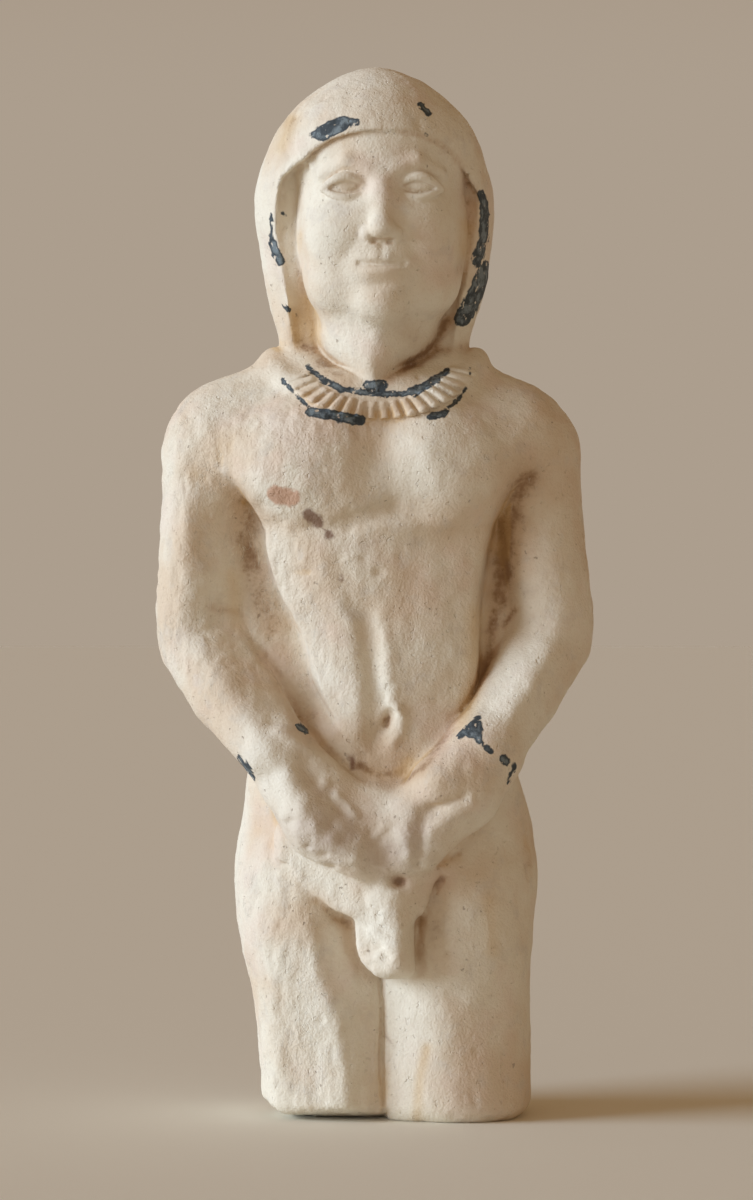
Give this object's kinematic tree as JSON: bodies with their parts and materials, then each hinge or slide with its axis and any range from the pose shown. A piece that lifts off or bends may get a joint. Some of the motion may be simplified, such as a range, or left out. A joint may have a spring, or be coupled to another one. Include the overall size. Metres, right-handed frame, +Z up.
{
  "type": "offering bearer statuette",
  "caption": "Small stone statuette of a standing man with a long wig and a ribbed collar, hands joined in front of the lower body, broken off flat at the thighs.",
  "frame": {"origin": "middle of the outline seen from above, on the plane of the underside", "axes": "+Z up the figure, -Y the way it faces, +X its own left side"},
  "size_m": [0.0669, 0.0409, 0.16],
  "materials": {
    "stone": "matt, worn, with remains of dark paint and brown dirt"
  },
  "bodies": {
    "root": {"standing_figure": "stone"}
  },
  "joints": []
}
